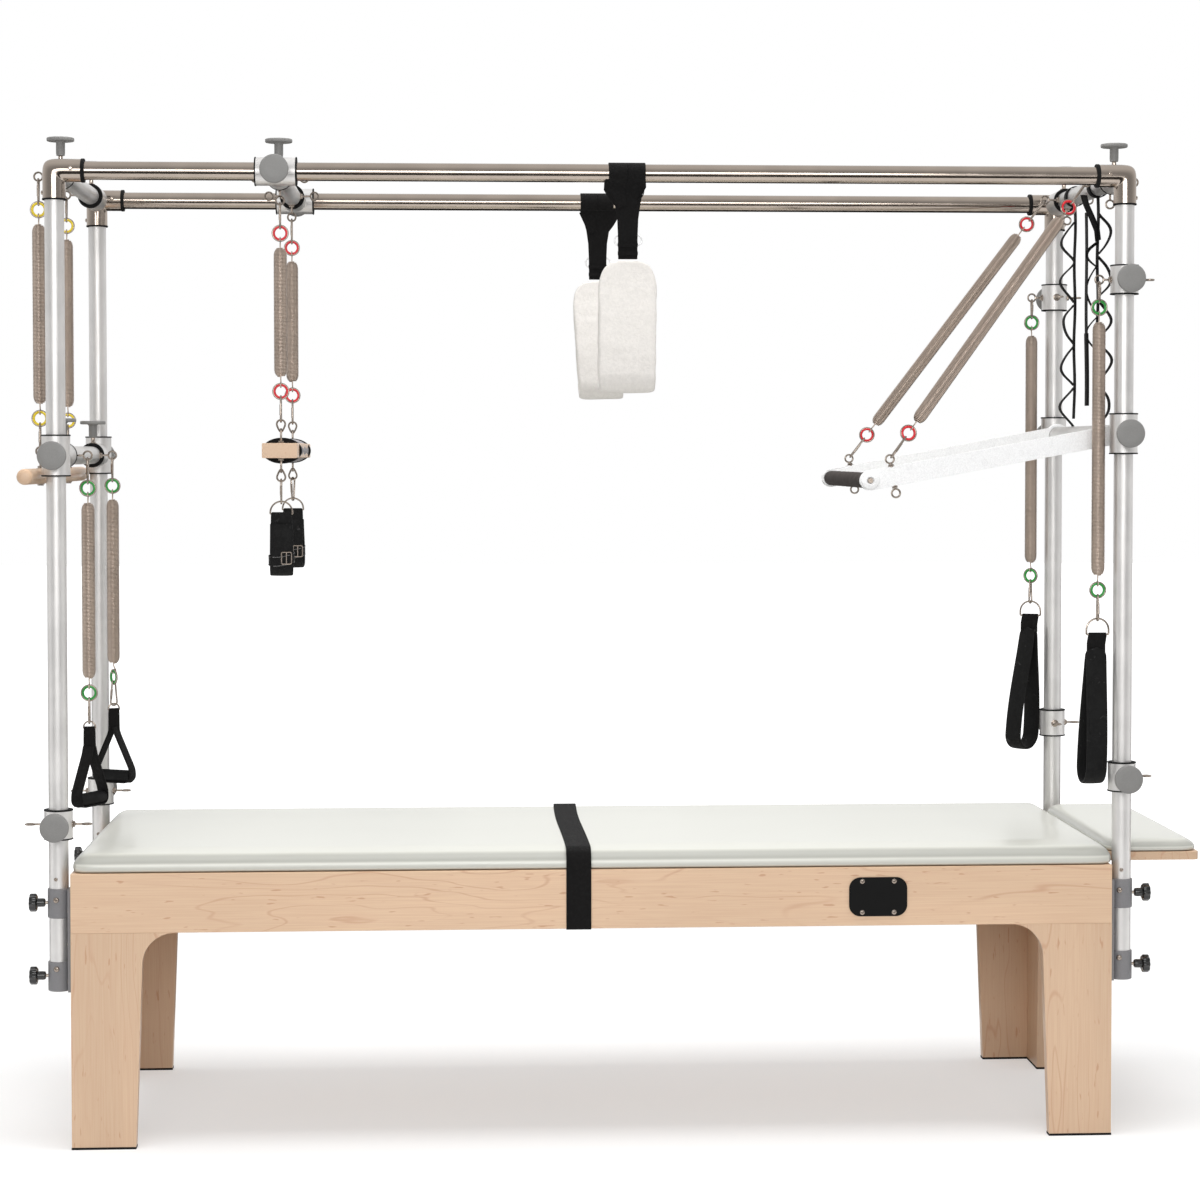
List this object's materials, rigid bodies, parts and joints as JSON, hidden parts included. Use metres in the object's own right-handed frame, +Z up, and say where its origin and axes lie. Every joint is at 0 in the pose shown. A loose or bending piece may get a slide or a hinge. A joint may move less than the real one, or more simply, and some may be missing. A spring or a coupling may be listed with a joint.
{
  "type": "pilates trapeze table",
  "caption": "Padded wooden table under a tubular four-post frame, with sliding cross bars, a push-through bar, springs, a trapeze, a roll-down bar and hanging loops.",
  "frame": {"origin": "on the floor under the centre of the footprint", "axes": "+X along the table towards the push-through bar, +Y across it to the rear, +Z up"},
  "size_m": [2.5038, 0.89, 2.125],
  "materials": {
    "maple": "satin",
    "vinyl": "satin",
    "black_webbing": "matte",
    "polished_steel": "polished",
    "satin_aluminium": "satin",
    "grey_paint": "satin",
    "spring_steel": "satin",
    "white_paint": "satin",
    "grey_foam": "matte",
    "fleece": "matte",
    "black_plate": "satin"
  },
  "bodies": {
    "frame": {"front_panel": "maple", "rear_panel": "maple", "left_end_panel": "maple", "right_end_panel": "maple", "deck_board": "maple", "mat": "vinyl", "tie_strap": "black_webbing", "front_plate": "black_plate", "leaf_board": "maple", "leaf_pad": "vinyl", "leaf_bracket": "grey_paint", "left_front_post": "satin_aluminium", "left_rear_post": "satin_aluminium", "right_front_post": "satin_aluminium", "right_rear_post": "satin_aluminium", "left_front_corner": "polished_steel", "left_rear_corner": "polished_steel", "right_front_corner": "polished_steel", "right_rear_corner": "polished_steel", "left_front_base_bracket": "grey_paint", "left_rear_base_bracket": "grey_paint", "right_front_base_bracket": "grey_paint", "right_rear_base_bracket": "grey_paint", "front_top_tube": "polished_steel", "rear_top_tube": "polished_steel", "left_top_cross_bar": "satin_aluminium", "right_top_cross_bar": "satin_aluminium", "right_mid_cross_bar": "satin_aluminium", "push_spring_front": "spring_steel", "push_spring_rear": "spring_steel"},
    "carriage": {"carriage": "satin_aluminium"},
    "trapeze": {"trapeze_bar": "maple", "trapeze_spring_front": "spring_steel", "trapeze_spring_rear": "spring_steel"},
    "cuff_front": {"ankle_cuff_front": "black_webbing"},
    "cuff_rear": {"ankle_cuff_rear": "black_webbing"},
    "left_lift": {"left_mid_cross_bar": "satin_aluminium"},
    "handle_front": {"handle_spring_front": "spring_steel", "hand_loop_front": "black_webbing"},
    "handle_rear": {"handle_spring_rear": "spring_steel", "hand_loop_rear": "black_webbing"},
    "roll_down": {"roll_down_bar": "maple", "roll_down_spring_front": "spring_steel", "roll_down_spring_rear": "spring_steel"},
    "lower_left_front": {"lower_left_collar_front": "satin_aluminium"},
    "lower_left_rear": {"lower_left_collar_rear": "satin_aluminium"},
    "upper_right_front": {"upper_right_collar_front": "satin_aluminium"},
    "foot_front": {"foot_spring_front": "spring_steel", "foot_loop_front": "black_webbing"},
    "upper_right_rear": {"upper_right_collar_rear": "satin_aluminium"},
    "foot_rear": {"foot_spring_rear": "spring_steel", "foot_loop_rear": "black_webbing"},
    "lower_right_front": {"lower_right_collar_front": "satin_aluminium"},
    "lower_right_rear": {"lower_right_collar_rear": "satin_aluminium"},
    "push_bar": {"push_through_bar": "white_paint"},
    "push_grip": {"push_grip": "grey_foam"},
    "fleece_front": {"fleece_loop_front": "fleece"},
    "fleece_rear": {"fleece_loop_rear": "fleece"},
    "daisy_front": {"daisy_strap_front": "black_webbing"},
    "daisy_rear": {"daisy_strap_rear": "black_webbing"}
  },
  "joints": [
    {"name": "carriage_slide", "type": "slide", "parent": "frame", "child": "carriage", "axis": [1, 0, 0], "range_m": [-0.1, 0.6]},
    {"name": "trapeze_swing", "type": "hinge", "parent": "carriage", "child": "trapeze", "pos_m": [-0.72215, 0, 1.998], "axis": [0, 1, 0], "range_deg": [-35, 15]},
    {"name": "cuff_front_swing", "type": "hinge", "parent": "trapeze", "child": "cuff_front", "pos_m": [-0.72215, -0.215, 1.397], "axis": [-1, 0, 0], "range_deg": [0, 30]},
    {"name": "cuff_rear_swing", "type": "hinge", "parent": "trapeze", "child": "cuff_rear", "pos_m": [-0.72215, 0.215, 1.397], "axis": [1, 0, 0], "range_deg": [0, 30]},
    {"name": "left_lift_slide", "type": "slide", "parent": "frame", "child": "left_lift", "axis": [0, 0, 1], "range_m": [0, 0.35]},
    {"name": "handle_front_swing", "type": "hinge", "parent": "left_lift", "child": "handle_front", "pos_m": [-1.13365, -0.215, 1.4438], "axis": [1, 0, 0], "range_deg": [0, 10]},
    {"name": "handle_rear_swing", "type": "hinge", "parent": "left_lift", "child": "handle_rear", "pos_m": [-1.13365, 0.215, 1.4438], "axis": [-1, 0, 0], "range_deg": [0, 10]},
    {"name": "roll_down_swing", "type": "hinge", "parent": "frame", "child": "roll_down", "pos_m": [-1.23365, 0, 2.046], "axis": [0, 1, 0], "range_deg": [0, 60]},
    {"name": "lower_left_front_slide", "type": "slide", "parent": "frame", "child": "lower_left_front", "axis": [0, 0, 1], "range_m": [-0.02, 0.6]},
    {"name": "lower_left_rear_slide", "type": "slide", "parent": "frame", "child": "lower_left_rear", "axis": [0, 0, 1], "range_m": [-0.008, 0.6]},
    {"name": "upper_right_front_slide", "type": "slide", "parent": "frame", "child": "upper_right_front", "axis": [0, 0, 1], "range_m": [-0.1, 0.12]},
    {"name": "foot_front_swing", "type": "hinge", "parent": "upper_right_front", "child": "foot_front", "pos_m": [1.02135, -0.35, 1.817], "axis": [-1, 0, 0], "range_deg": [0, 50]},
    {"name": "upper_right_rear_slide", "type": "slide", "parent": "frame", "child": "upper_right_rear", "axis": [0, 0, 1], "range_m": [-0.1, 0.12]},
    {"name": "foot_rear_swing", "type": "hinge", "parent": "upper_right_rear", "child": "foot_rear", "pos_m": [1.02135, 0.35, 1.817], "axis": [1, 0, 0], "range_deg": [0, 50]},
    {"name": "lower_right_front_slide", "type": "slide", "parent": "frame", "child": "lower_right_front", "axis": [0, 0, 1], "range_m": [-0.1, 0.55]},
    {"name": "lower_right_rear_slide", "type": "slide", "parent": "frame", "child": "lower_right_rear", "axis": [0, 0, 1], "range_m": [-0.1, 0.55]},
    {"name": "push_bar_swing", "type": "hinge", "parent": "frame", "child": "push_bar", "pos_m": [1.07535, 0, 1.4985], "axis": [0, 1, 0], "range_deg": [-40, 60], "stiffness_Nm_per_rad": 40, "springref_deg": 15.81, "deforming": ["push_spring_front", "push_spring_rear"]},
    {"name": "push_grip_turn", "type": "hinge", "parent": "push_bar", "child": "push_grip", "pos_m": [0.53554, 0, 1.39845], "axis": [0, 1, 0], "continuous": true},
    {"name": "fleece_front_swing", "type": "hinge", "parent": "frame", "child": "fleece_front", "pos_m": [0.01485, -0.35, 2.046], "axis": [-1, 0, 0], "range_deg": [0, 60]},
    {"name": "fleece_rear_swing", "type": "hinge", "parent": "frame", "child": "fleece_rear", "pos_m": [-0.01315, 0.35, 2.046], "axis": [1, 0, 0], "range_deg": [0, 60]},
    {"name": "daisy_front_swing", "type": "hinge", "parent": "frame", "child": "daisy_front", "pos_m": [1.07535, -0.1, 2.046], "axis": [0, 1, 0], "range_deg": [-15, 15]},
    {"name": "daisy_rear_swing", "type": "hinge", "parent": "frame", "child": "daisy_rear", "pos_m": [1.07535, 0.13, 2.046], "axis": [0, 1, 0], "range_deg": [-15, 15]}
  ]
}
